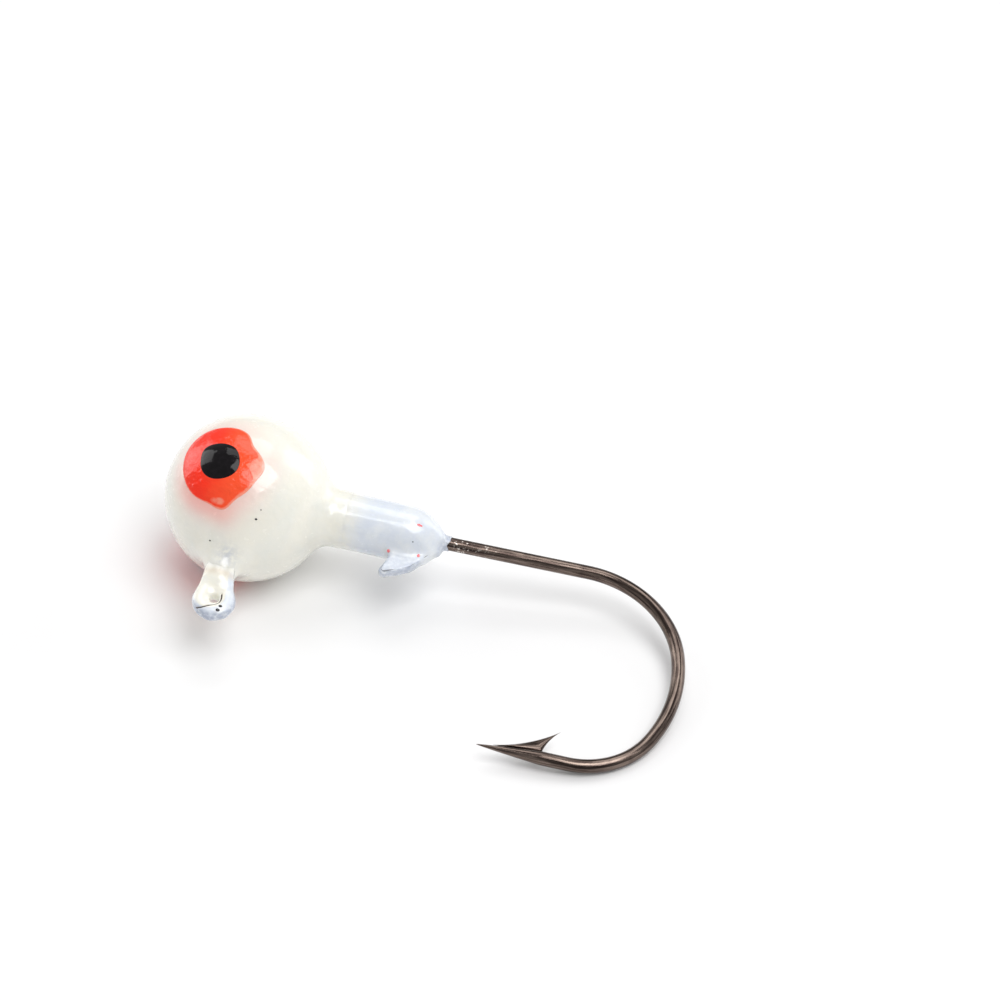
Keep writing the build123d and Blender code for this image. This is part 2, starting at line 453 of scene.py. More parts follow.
@dataclass(frozen=True)
class DippedPaint:
    """White paint: cream where the second coat covers it, cool and thin elsewhere, with painted shade along
    the line tie's crack.
    """

    name: str = "dipped_paint"
    cream: tuple[float, float, float] = (0.90, 0.88, 0.79)
    milk: tuple[float, float, float] = (0.86, 0.86, 0.79)
    cool: tuple[float, float, float] = (0.70, 0.75, 0.83)
    frost: tuple[float, float, float] = (0.80, 0.83, 0.86)
    thin: tuple[float, float, float] = (0.33, 0.38, 0.50)
    blush: tuple[float, float, float] = (0.98, 0.42, 0.38)
    # Painted shade: dark brown for the groove of the crack in the line tie's cream.
    crack_shade: tuple[float, float, float] = (0.055, 0.030, 0.022)
    # Tan of the band round the neck where the cream runs out.
    stain: tuple[float, float, float] = (0.66, 0.54, 0.40)
    fade_start: float = 7.3
    fade_end: float = 9.6

    def colour(self, sketch: Sketch) -> tuple[bpy.types.NodeSocket, bpy.types.NodeSocket]:
        """Colour by place, for any coat that shows beside another."""
        place = sketch.fished()
        x, y, z = sketch.axes(place)[:3]
        cloud = sketch.noise(place, 0.45, 3.0)
        warm = sketch.mix(sketch.step(cloud, 0.35, 0.72), self.cream, self.milk)
        wander = sketch.math("MULTIPLY_ADD", sketch.noise(place, 1.4, 2.0), 1.6, x)
        on_collar = sketch.step(wander, self.fade_start + 0.8, self.fade_end + 0.8)
        on_ring = sketch.mark("ring")
        cool_share = sketch.math("MAXIMUM", on_collar, on_ring)
        patch = sketch.mix(sketch.step(sketch.noise(place, 0.7, 3.0), 0.3, 0.75), self.cool, self.frost)
        colour = sketch.mix(cool_share, warm, patch)
        # Blue-grey where the base coat runs thin, and in the hollow beside the neck's root, broken up by
        # noise.
        wear = sketch.step(sketch.noise(place, 2.6, 4.0), 0.25, 0.6)
        blue_grey = sketch.math("MULTIPLY", sketch.mark("thin"), wear)
        colour = sketch.mix(blue_grey, colour, self.thin)
        # Tan band where the cream runs out on the neck, just under the ball.
        colour = sketch.mix(sketch.mark("stain"), colour, self.stain)
        # Painted shade: the crack's groove darkened with dark brown.
        colour = sketch.mix(sketch.step(sketch.mark("crack"), 0.35, 0.8), colour, self.crack_shade)
        return sketch.mix(sketch.mark("blush"), colour, self.blush), place

    def make(self) -> bpy.types.Material:
        """The coat's material."""
        sketch = Sketch(self.name)
        colour, place = self.colour(sketch)
        orange_peel = sketch.noise(place, 0.9, 2.0, 0.4)
        dust = sketch.noise(place, 14.0, 2.0, 0.5)
        height = sketch.math("MULTIPLY_ADD", dust, 0.05, orange_peel)
        return sketch.finish(
            Base_Color=colour,
            Roughness=sketch.step(sketch.noise(place, 3.0, 3.0), 0.3, 0.8, 0.16, 0.30),
            Normal=sketch.bump(height, 0.10),
            IOR=1.5,
            Coat_Weight=0.6,
            Coat_Roughness=0.06,
            Subsurface_Weight=0.25,
            Subsurface_Radius=(1.0, 0.95, 0.8),
            Subsurface_Scale=0.9 * MM,
        )


@dataclass(frozen=True)
class IrisPaint:
    """Orange-red eye paint over the cream: it shows through where the paint is thin. Its shift to orange
    towards the collar is partly painted light.
    """

    name: str = "iris_paint"
    red: tuple[float, float, float] = (0.97, 0.028, 0.006)
    orange: tuple[float, float, float] = (0.98, 0.085, 0.022)
    salmon: tuple[float, float, float] = (0.96, 0.30, 0.20)
    wash: tuple[float, float, float] = (0.94, 0.62, 0.54)

    def make(self) -> bpy.types.Material:
        """The iris's material."""
        sketch = Sketch(self.name)
        place = sketch.fished()
        x = sketch.axes(place)["X"]
        # Red towards the front, orange towards the collar, broken by noise: the orange on the collar side is
        # a painted highlight for the lit side of the eye, mixed with random tone.
        cloud = sketch.math("MULTIPLY_ADD", sketch.noise(place, 0.8, 4.0), 2.0, x)
        paint = sketch.mix(sketch.step(cloud, -2.4, 0.6), self.red, self.orange)
        cover = sketch.mark("cover")
        streak = sketch.noise(place, 2.2, 4.0)
        thick = sketch.math("ADD", cover, sketch.step(streak, 0.2, 0.8, -0.12, 0.12))
        colour = sketch.mix(sketch.step(thick, 0.45, 0.9), self.salmon, paint)
        colour = sketch.mix(sketch.step(thick, 0.05, 0.45), self.wash, colour)
        waves = sketch.noise(place, 1.6, 3.0, 0.5)
        return sketch.finish(
            Base_Color=colour,
            Roughness=sketch.step(streak, 0.3, 0.8, 0.10, 0.24),
            Normal=sketch.bump(waves, 0.10),
            IOR=1.42,
            Coat_Weight=0.25,
            Coat_Roughness=0.03,
        )


@dataclass(frozen=True)
class PupilPaint:
    """Glossy black bead of paint."""

    name: str = "pupil_paint"
    black: tuple[float, float, float] = (0.003, 0.002, 0.003)
    haze: tuple[float, float, float] = (0.008, 0.006, 0.008)

    def make(self) -> bpy.types.Material:
        """The pupil's material."""
        sketch = Sketch(self.name)
        place = sketch.fished()
        cloud = sketch.noise(place, 2.5, 4.0)
        return sketch.finish(
            Base_Color=sketch.mix(sketch.step(cloud, 0.4, 0.8), self.black, self.haze),
            Roughness=sketch.step(cloud, 0.3, 0.8, 0.07, 0.14),
            Normal=sketch.bump(sketch.noise(place, 2.0, 2.0), 0.02),
            IOR=1.34,
        )


@dataclass(frozen=True)
class HookPlating:
    """Bronzed black-nickel wire with drawing marks, and bright scuffs by the paint."""

    name: str = "hook_plating"
    dark: tuple[float, float, float] = (0.050, 0.035, 0.031)
    bronze: tuple[float, float, float] = (0.25, 0.195, 0.165)
    bright: tuple[float, float, float] = (0.72, 0.66, 0.60)
    scuff_from: float = 24.0
    scuff_to: float = 29.0

    def make(self) -> bpy.types.Material:
        """The hook's material; 'along' runs in millimetres and 'around' from 0 to 1."""
        sketch = Sketch(self.name)
        along, around = sketch.mark("along"), sketch.math("MULTIPLY", sketch.mark("around"), 2 * math.pi)
        inputs = {
            "X": sketch.math("MULTIPLY", along, 0.10),
            "Y": sketch.math("COSINE", around),
            "Z": sketch.math("SINE", around),
        }
        drawn = sketch.node("CombineXYZ", inputs).outputs["Vector"]
        lines = sketch.noise(drawn, 3.2, 5.0, 0.6)
        place = sketch.fished()
        patches = sketch.noise(place, 0.9, 4.0)
        colour = sketch.mix(sketch.step(lines, 0.35, 0.68), self.dark, self.bronze)
        colour = sketch.mix(sketch.step(patches, 0.45, 0.8, 0.0, 0.5), colour, self.dark)
        near_paint = sketch.math(
            "MULTIPLY",
            sketch.step(along, self.scuff_from, self.scuff_from + 0.3),
            sketch.step(along, self.scuff_from + 1.5, self.scuff_to, 1.0, 0.0),
        )
        flecks = sketch.step(sketch.noise(place, 3.2, 5.0, 0.7), 0.56, 0.62)
        colour = sketch.mix(sketch.math("MULTIPLY", near_paint, flecks), colour, self.bright)
        pits = sketch.noise(place, 7.0, 4.0, 0.7)
        height = sketch.math("MULTIPLY_ADD", pits, 0.5, lines)
        return sketch.finish(
            Base_Color=colour,
            Metallic=1.0,
            Roughness=sketch.step(lines, 0.3, 0.75, 0.13, 0.26),
            Normal=sketch.bump(height, 0.010),
        )


@dataclass(frozen=True)
class CastLead:
    """Dull grey lead as it leaves the mould."""

    name: str = "cast_lead"
    grey: tuple[float, float, float] = (0.30, 0.31, 0.33)
    oxide: tuple[float, float, float] = (0.17, 0.18, 0.20)

    def make(self) -> bpy.types.Material:
        """The casting's material."""
        sketch = Sketch(self.name)
        place = sketch.fished()
        cloud = sketch.noise(place, 1.2, 5.0)
        return sketch.finish(
            Base_Color=sketch.mix(sketch.step(cloud, 0.35, 0.7), self.grey, self.oxide),
            Metallic=1.0,
            Roughness=sketch.step(cloud, 0.3, 0.8, 0.45, 0.7),
            Normal=sketch.bump(sketch.noise(place, 5.0, 4.0), 0.05),
        )


@dataclass(frozen=True)
class SpeckPaint:
    """Tiny drop of stray paint."""

    name: str
    colour: tuple[float, float, float]
    edge: tuple[float, float, float]

    def make(self) -> bpy.types.Material:
        """The speck's material."""
        sketch = Sketch(self.name)
        cloud = sketch.noise(sketch.fished(), 9.0, 3.0)
        return sketch.finish(
            Base_Color=sketch.mix(sketch.step(cloud, 0.4, 0.7), self.colour, self.edge),
            Roughness=sketch.step(cloud, 0.3, 0.8, 0.2, 0.45),
        )


# ---- Geometry Nodes ----


def start_tree(
    name: str, inputs: dict[str, str]
) -> tuple[bpy.types.NodeTree, bpy.types.Node, bpy.types.Node]:
    """Start a tree that takes and gives geometry.

    Args:
        name: the tree's name.
        inputs: kind of socket, such as Float, by the input's name.

    Returns:
        The tree, and its nodes for what is given and what is made.
    """
    tree = bpy.data.node_groups.new(name, "GeometryNodeTree")
    for label, kind in {"Geometry": "Geometry", **inputs}.items():
        tree.interface.new_socket(label, in_out="INPUT", socket_type="NodeSocket" + kind)
    tree.interface.new_socket("Geometry", in_out="OUTPUT", socket_type="NodeSocketGeometry")
    return tree, tree.nodes.new("NodeGroupInput"), tree.nodes.new("NodeGroupOutput")


def run_tree(
    source: bpy.types.Object, tree: bpy.types.NodeTree, name: str, **values: object
) -> bpy.types.Object:
    """Run a tree on an object and keep only what it makes.

    Args:
        source: the object that carries the places, which is removed.
        tree: the tree to run.
        name: name of the piece to make.
        values: the tree's inputs; underscores in names stand for spaces.

    Returns:
        A linked object with a plain mesh.
    """
    modifier = source.modifiers.new(tree.name, "NODES")
    modifier.node_group = tree
    ids = {item.name: item.identifier for item in tree.interface.items_tree if item.in_out == "INPUT"}
    for key, value in values.items():
        modifier[ids[key.replace("_", " ")]] = value
    depsgraph = bpy.context.evaluated_depsgraph_get()
    mesh = bpy.data.meshes.new_from_object(source.evaluated_get(depsgraph), depsgraph=depsgraph)
    bpy.data.objects.remove(source)
    made = bpy.data.objects.new(name, mesh)
    bpy.context.scene.collection.objects.link(made)
    return made


# ---- Hook ----


@dataclass
class Hook:
    """The wire: line-tie ring, leg, elbow, shank, bend, limb, point and barb."""

    wire_radius: float = 0.53
    leg_x: float = -0.25
    tie_x: float = 0.0
    tie_y: float = 10.45
    ring_radius: float = 1.05
    leg: float = 7.42
    elbow_radius: float = 1.60
    shank_drop: float = 1.7
    shank: float = 25.59
    bend: tuple[tuple[float, float], ...] = ((8.38, 75.8), (12.20, 40.4), (6.15, 64.6))
    limb: float = 1.90
    point: float = 4.98
    tip_share: float = 0.035
    step: float = 0.18
    walls: int = 40
    barb_start: tuple[float, float] = (23.40, 17.55)
    barb_tip: tuple[float, float] = (28.03, 15.04)
    barb_root: tuple[float, float] = (27.05, 17.18)
    barb_sag: float = 0.34
    barb_rear_sag: float = 0.16
    barb_half: float = 0.30
    barb_along: float = 60.0

    def route(self) -> tuple[np.ndarray, np.ndarray]:
        """Middle line of the wire and the share of the wire's radius at each of its places."""
        drop = math.sqrt(self.ring_radius**2 - (self.tie_x - self.leg_x) ** 2)
        place, way = np.array([self.leg_x, self.tie_y - drop]), -90.0
        places = [place]
        stretches = [(0.0, self.leg), (self.elbow_radius, 90 - self.shank_drop), (0.0, self.shank)]
        stretches += [*self.bend, (0.0, self.limb + self.point)]
        for radius, size in stretches:
            length = math.radians(size) * radius if radius else size
            count = max(2, math.ceil(length / self.step))
            for i in range(1, count + 1):
                if radius:
                    turned = math.radians(way + size * i / count)
                    start = math.radians(way)
                    across = math.sin(turned) - math.sin(start)
                    along = math.cos(start) - math.cos(turned)
                    places.append(place + radius * np.array([across, along]))
                else:
                    ahead = np.array([math.cos(math.radians(way)), math.sin(math.radians(way))])
                    places.append(place + ahead * size * i / count)
            place, way = places[-1], way + (size if radius else 0.0)
        line = np.array(places)
        left = np.linalg.norm(line - line[-1], axis=1)
        left[: len(left) // 2] = self.point
        share = self.tip_share + (1 - self.tip_share) * np.clip(left / self.point, 0, 1) ** 0.85
        return line, share

    def curve(self) -> bpy.types.Object:
        """Curve object of the wire's line and of the line tie's ring, with tapering radii."""
        line, share = self.route()
        data = bpy.data.curves.new("hook_line", "CURVE")
        data.dimensions = "3D"
        spokes = 64
        turns = np.arange(spokes) * 2 * math.pi / spokes
        around = np.stack([np.cos(turns), np.sin(turns)], 1)
        ring = np.array([self.tie_x, self.tie_y]) + self.ring_radius * around
        for flat, radii, closed in ((line, share, False), (ring, np.ones(spokes), True)):
            spline = data.splines.new("POLY")
            spline.points.add(len(flat) - 1)
            places = JIG.world(np.column_stack([flat, np.zeros(len(flat))]))
            spline.points.foreach_set("co", np.column_stack([places, np.ones(len(flat))]).ravel())
            spline.points.foreach_set("radius", radii)
            spline.use_cyclic_u = closed
        wire = bpy.data.objects.new("hook_line", data)
        bpy.context.scene.collection.objects.link(wire)
        return wire

    def wire_tree(self) -> bpy.types.NodeTree:
        """Geometry Nodes that draw round wire along a curve, by the curve's own radii."""
        inputs = {"Wire Radius": "Float", "Walls": "Int", "Finish": "Material"}
        tree, given, made = start_tree("drawn_wire", inputs)
        new, link = tree.nodes.new, tree.links.new

        along = new("GeometryNodeSplineParameter")
        in_mm = new("ShaderNodeMath")
        in_mm.operation = "DIVIDE"
        in_mm.inputs[1].default_value = MM
        link(along.outputs["Length"], in_mm.inputs[0])
        store_along = new("GeometryNodeStoreNamedAttribute")
        store_along.inputs["Name"].default_value = "along"
        link(given.outputs["Geometry"], store_along.inputs["Geometry"])
        link(in_mm.outputs[0], store_along.inputs["Value"])

        circle = new("GeometryNodeCurvePrimitiveCircle")
        link(given.outputs["Walls"], circle.inputs["Resolution"])
        link(given.outputs["Wire Radius"], circle.inputs["Radius"])
        around = new("GeometryNodeSplineParameter")
        store_around = new("GeometryNodeStoreNamedAttribute")
        store_around.inputs["Name"].default_value = "around"
        link(circle.outputs["Curve"], store_around.inputs["Geometry"])
        link(around.outputs["Factor"], store_around.inputs["Value"])

        tube = new("GeometryNodeCurveToMesh")
        tube.inputs["Fill Caps"].default_value = True
        link(store_along.outputs["Geometry"], tube.inputs["Curve"])
        link(store_around.outputs["Geometry"], tube.inputs["Profile Curve"])
        if "Scale" in tube.inputs:
            radius = new("GeometryNodeInputRadius")
            link(radius.outputs["Radius"], tube.inputs["Scale"])
        smooth = new("GeometryNodeSetShadeSmooth")
        real = new("GeometryNodeRealizeInstances")
        dress = new("GeometryNodeSetMaterial")
        link(tube.outputs["Mesh"], smooth.inputs["Geometry"])
        link(smooth.outputs["Geometry"], real.inputs["Geometry"])
        link(real.outputs["Geometry"], dress.inputs["Geometry"])
        link(given.outputs["Finish"], dress.inputs["Material"])
        link(dress.outputs["Geometry"], made.inputs["Geometry"])
        return tree

    def barb(self, finish: bpy.types.Material, sections: int = 36, around: int = 12) -> bpy.types.Object:
        """Barb cut up from the point: wide where it leaves the wire, thin along its top edge.

        Args:
            finish: the plating.
            sections: rings of vertices from the barb's start to its tip.
            around: vertices in a ring.

        Returns:
            The barb, not yet joined to the wire.
        """
        start, tip, root = map(np.array, (self.barb_start, self.barb_tip, self.barb_root))

        def bowed(a: np.ndarray, b: np.ndarray, share: float, sag: float) -> np.ndarray:
            """Place on a shallow bow from a to b."""
            side = np.array([-(b - a)[1], (b - a)[0]]) / np.linalg.norm(b - a)
            return a + (b - a) * share + side * sag * 4 * share * (1 - share)

        places = []
        root_share = 0.62
        for i in range(sections):
            share = i / (sections - 1)
            top = bowed(start, tip, share, self.barb_sag)
            if share < root_share:
                low = start + (root - start) * share / root_share
            else:
                rear = (share - root_share) / (1 - root_share)
                low = bowed(root, tip, rear, -self.barb_rear_sag)
            swell = ease(0.0, 0.35, np.array(share + 0.06))
            half = self.barb_half * swell * (1 - 0.90 * ease(0.35, 1.0, np.array(share)))
            for j in range(around):
                angle = 2 * math.pi * j / around
                height = 0.5 + 0.5 * math.cos(angle)
                width = math.sin(angle) * half * (1.0 - 0.86 * height)
                middle = low + (top - low) * height
                places.append((*middle, width))
        faces: list[tuple[int, ...]] = []
        for i in range(sections - 1):
            for j in range(around):
                k = (j + 1) % around
                a, b = i * around, (i + 1) * around
                faces.append((a + j, a + k, b + k, b + j))
        faces.append(tuple(reversed(range(around))))
        faces.append(tuple(range((sections - 1) * around, sections * around)))
        marks = {
            "along": np.repeat(np.linspace(0, 5, sections), around) + self.barb_along,
            "around": np.tile(np.linspace(0, 1, around), sections),
        }
        return make_piece("barb", np.array(places), faces, finish, marks=marks)

    def build(self, finish: bpy.types.Material) -> bpy.types.Object:
        """Draw the wire, add the barb and settle the hook.

        Args:
            finish: the plating.

        Returns:
            The hook as one plain mesh.
        """
        values = {"Wire_Radius": self.wire_radius * MM, "Walls": self.walls, "Finish": finish}
        hook = run_tree(self.curve(), self.wire_tree(), "hook_wire", **values)
        join(hook, self.barb(finish))
        recalculate(hook)
        return settle(hook, Slot.HOOK, "hook")


def join(target: bpy.types.Object, *others: bpy.types.Object) -> None:
    """Join other meshes into the target."""
    with bpy.context.temp_override(
        active_object=target, selected_editable_objects=[target, *others], selected_objects=[target, *others]
    ):
        bpy.ops.object.join()


def recalculate(piece: bpy.types.Object) -> None:
    """Merge doubled vertices and turn every face outwards."""
    made = bmesh.new()
    made.from_mesh(piece.data)
    bmesh.ops.remove_doubles(made, verts=made.verts, dist=1e-4 * MM)
    bmesh.ops.recalc_face_normals(made, faces=made.faces)
    for part in made.faces:
        part.smooth = True
    made.to_mesh(piece.data)
    made.free()


# ---- Coats ----


@dataclass
class Coats:
    """Both dipped coats, as one set of shapes that flow into each other."""

    ball: float = 6.50
    under: float = 6.46
    collar: float = 2.21
    shoulder: float = 12.60
    nose_end: float = 15.30
    nose_end_radius: float = 0.86
    cuff_end: float = 16.02
    cuff_radius: float = 0.61
    hook: Hook = field(default_factory=Hook)
    keeper: tuple[tuple[float, float], ...] = (
        (12.11, 0.90), (12.11, 2.70), (11.98, 3.35), (11.70, 4.08),
        (12.60, 3.66), (13.42, 3.10), (15.07, 0.90),
    )
    keeper_round: float = 0.36
    neck_root: float = 1.10
    neck_top: float = 1.04
    tube: float = 0.61
    hole: float = 0.36
    plate: float = 0.34
    crack_middle: tuple[float, float] = (-0.90, -0.30)
    crack_radius: float = 1.43
    crack_turns: tuple[float, float] = (-0.10, 1.70)
    cream_middle: tuple[float, float] = (-0.36, -0.08)
    # Middle of the blue-grey patch in the hollow beside the neck's root, mirrored to both sides.
    neck_hollow_place: tuple[float, float, float] = (0.05, 7.10, -1.45)

    def ripple(self, places: np.ndarray) -> np.ndarray:
        """Slight unevenness of the thick paint, in millimetres."""
        x, y, z = places.T
        slow = np.sin(0.55 * x + 0.3) * np.sin(0.62 * y + 1.1) + np.sin(0.58 * z - 0.7 + 0.3 * x)
        return 0.022 * slow

    def ball_radius(self, ways: np.ndarray) -> np.ndarray:
        """Radius of the cream surface in unit directions from the ball's middle."""
        return self.ball + self.ripple(ways * self.ball)

    def wire_y(self, x: np.ndarray) -> np.ndarray:
        """Height of the shank's middle over the ball's middle."""
        start = self.hook.leg_x + self.hook.elbow_radius
        return 0.41 - (x - start) * math.tan(math.radians(self.hook.shank_drop))

    def neck(self, places: np.ndarray, proud: float = 0.0) -> np.ndarray:
        """Neck round the leg of the line tie."""
        x, y, z = places.T
        radius = self.neck_root + (self.neck_top - self.neck_root) * ease(5.8, 8.9, y) + proud
        middle = self.hook.leg_x + (self.hook.tie_x - self.hook.leg_x) * ease(7.0, 10.4, y)
        return np.hypot(x - middle, z) - radius

    def crack(self, places: np.ndarray) -> np.ndarray:
        """Distance from the crack where the cream has drawn away from the ring."""
        dx = places[:, 0] - self.hook.tie_x - self.crack_middle[0]
        dy = places[:, 1] - self.hook.tie_y - self.crack_middle[1]
        turn = np.arctan2(dy, dx)
        along = np.clip(turn, *self.crack_turns)
        radius = self.crack_radius + 0.05 * np.sin(5 * along)
        return np.hypot(dx - radius * np.cos(along), dy - radius * np.sin(along))

    def collar_shape(self, places: np.ndarray) -> np.ndarray:
        """Base coat of the collar, nose, cuff and keeper."""
        x, y, z = places.T
        run, fall = self.nose_end - self.shoulder, self.collar - self.nose_end_radius
        arc = (run**2 + fall**2) / (2 * fall)
        past = np.clip(x - self.shoulder, 0, None)
        nose_radius = self.collar - arc + np.sqrt(np.clip(arc**2 - past**2, 0, None))
        middle = self.wire_y(x) * ease(12.5, 15.5, x)
        nose = np.hypot(y - middle, z) - nose_radius
        cuff_radius = self.cuff_radius + 0.10 * ease(16.0, 15.0, x)
        turn = np.arctan2(y, z)
        ragged = self.cuff_end + 0.09 * np.sin(2 * turn + 0.6) + 0.05 * np.sin(5 * turn)
        cuff = smooth_meet(np.hypot(y - self.wire_y(x), z) - cuff_radius, x - ragged, 0.10)
        body = smooth_union(nose, cuff, 0.45)
        flat = polygon_distance(x, y, list(self.keeper)) - self.keeper_round
        half = 0.52 - 0.11 * ease(2.2, 4.3, y)
        fin = smooth_meet(flat, np.abs(z) - half, 0.34)
        body = smooth_union(body, fin, 0.60)
        lumps = np.sin(3.1 * x + 0.4) * np.sin(3.4 * y + 1.3) * np.sin(3.7 * z + 0.2)
        drip = 0.055 * lumps * ease(13.2, 14.6, x) * ease(16.1, 15.4, x) + 0.6 * self.ripple(places)
        return np.maximum(body - drip, 6.3 - x)

    def tie_shape(self, places: np.ndarray) -> np.ndarray:
        """Base coat of the neck, the line tie's ring and the web of paint in its hole."""
        x, y, z = places.T
        dx, dy = x - self.hook.tie_x, y - self.hook.tie_y
        neck = smooth_meet(self.neck(places), y - 9.05, 0.7)
        flat = np.hypot(dx, dy)
        ring = np.hypot(flat - self.hook.ring_radius, z) - self.tube
        rise = np.clip(-dy / 2.35, 0, 1)
        width = np.hypot(dx + 0.22 * rise, dy + 2.35 * rise) - 1.48 + 0.52 * rise
        web = smooth_meet(width, np.abs(z) - self.plate - 0.28 * rise, 0.12)
        web = smooth_meet(web, self.hole - np.hypot(dx - 0.03, dy + 0.02), 0.25)
        body = smooth_union(smooth_union(ring, web, 0.25), neck, 0.8)
        body = body - 0.020 * np.sin(4.2 * x + 1.0) * np.sin(3.8 * y) * np.sin(4.5 * z + 0.5)
        body = body + 0.13 * np.exp(-((self.crack(places) / 0.065) ** 2)) * ease(0.12, 0.3, np.abs(z))
        body = smooth_union(body, np.linalg.norm(places, axis=1) - self.under, 1.3)
        return np.maximum(np.maximum(body, np.hypot(dx, z) - 2.7), 5.6 - y)

    def glow_shape(self, places: np.ndarray) -> np.ndarray:
        """Cream second coat: ball, root of the collar and root of the neck."""
        x, y, z = places.T
        ball = np.linalg.norm(places, axis=1) - self.ball
        stub_radius = self.collar + 0.035 - 0.11 * ease(7.5, 8.6, x)
        stub = np.maximum(smooth_meet(np.hypot(y, z) - stub_radius, x - 8.6, 0.06), 3.0 - x)
        neck = smooth_meet(self.neck(places, 0.05) + 0.16 * ease(7.6, 8.3, y), y - 8.4, 0.06)
        neck = np.maximum(neck, 3.0 - y)
        body = smooth_union(smooth_union(ball, stub, 1.05), neck, 2.2)
        return body - self.ripple(places)

    def blush(self, places: np.ndarray, eyes: Iterable[EyePlace]) -> np.ndarray:
        """Pink bloom in the cream below each iris."""
        total = np.zeros(len(places))
        ways = places / np.linalg.norm(places, axis=1, keepdims=True)
        for eye in eyes:
            out, back, tie = eye.axes()
            apart = np.arccos(np.clip(ways @ out, -1, 1)) * self.ball
            turn = np.arctan2(ways @ tie, ways @ back)
            low = 0.30 + 0.70 * np.exp(-(((turn - 1.85) / 1.0) ** 2))
            beyond = np.clip(apart - eye.edge(turn), 0, None)
            total += np.exp(-((beyond / 1.25) ** 2)) * (apart > 2.0) * low
        return 0.80 * np.clip(total, 0, 1)

    def thin(self, places: np.ndarray) -> np.ndarray:
        """Where the base coat runs thin: the keeper's edges, the cuff and the ring's outside; and a blue-grey
        patch in the hollow beside the neck's root.
        """
        x, y, z = places.T
        flat = -polygon_distance(x, y, list(self.keeper)) + self.keeper_round
        keeper = (0.55 + 0.45 * ease(0.42, 0.03, np.abs(flat))) * ease(2.2, 3.0, y) * (x < 15.6) * (x > 11.0)
        cuff = ease(14.9, 15.9, x)
        apart = np.hypot(x - self.hook.tie_x, y - self.hook.tie_y)
        ring = ease(1.25, 1.66, apart) * (y > 8.8) * ease(9.4, 11.6, y + 0.7 * (x - self.hook.tie_x))
        # Blue-grey patch in the hollow where the neck leaves the ball, on each side.
        blue_grey = np.linalg.norm(np.column_stack([x, y, -np.abs(z)]) - self.neck_hollow_place, axis=1)
        patch = 0.45 * np.exp(-((blue_grey / 0.9) ** 2))
        return np.clip(0.60 * keeper + 0.7 * cuff + 0.8 * ring + patch, 0, 1)

    def stain(self, places: np.ndarray) -> np.ndarray:
        """Tan edge of the cream where it runs out on the neck."""
        x, y, z = places.T
        near = ease(2.2, 1.5, np.hypot(x - self.hook.leg_x, z))
        return 0.45 * near * np.exp(-(((y - 8.35) / 0.32) ** 2))

    def ring(self, places: np.ndarray) -> np.ndarray:
        """Where the line tie is cool base coat and not cream."""
        x, y, z = places.T
        dx, dy = x - self.hook.tie_x, y - self.hook.tie_y
        up = np.clip(self.cream_middle[1] - dy, 0, 2.6)
        apart = np.hypot(dx - self.cream_middle[0], dy - self.cream_middle[1] + up) + 0.12 * up
        wall = ease(0.42, 0.22, np.abs(z)) * ease(0.9, 1.2, np.hypot(dx, dy))
        return np.maximum(ease(1.10, 1.28, apart), wall) * ease(8.3, 9.0, y + 0.7 * dx)

    def build(self, finish: bpy.types.Material, eyes: Iterable[EyePlace]) -> None:
        """Mesh and settle the three coat pieces.

        Args:
            finish: the dipped paint.
            eyes: where the eyes are, for the bloom round them.
        """
        glow = SurfaceNet((-6.8, -6.8, -6.8), (8.8, 8.7, 6.8), 0.11)
        collar = SurfaceNet((6.0, -2.6, -2.6), (16.4, 4.8, 2.6), 0.06)
        tie = SurfaceNet((-3.0, 5.3, -3.0), (3.0, 12.5, 3.0), 0.05)
        parts = (
            ("glow_coat_skin", Slot.GLOW, "glow_coat", self.glow_shape, glow),
            ("base_coat_collar", Slot.BASE, "base_coat", self.collar_shape, collar),
            ("base_coat_line_tie", Slot.BASE, "base_coat", self.tie_shape, tie),
        )
        for name, slot, node, shape, net in parts:
            places, faces, normals = net.build(shape)
            marks = {"thin": self.thin(places), "ring": self.ring(places), "blush": self.blush(places, eyes)}
            marks["stain"] = self.stain(places)
            # Where the crack's groove gets its painted shade, on the ring's faces only.
            marks["crack"] = np.exp(-((self.crack(places) / 0.06) ** 2)) * (np.abs(places[:, 2]) > 0.2)
            settle(make_piece(name, places, faces, finish, normals, marks), slot, node)


# ---- Eyes ----


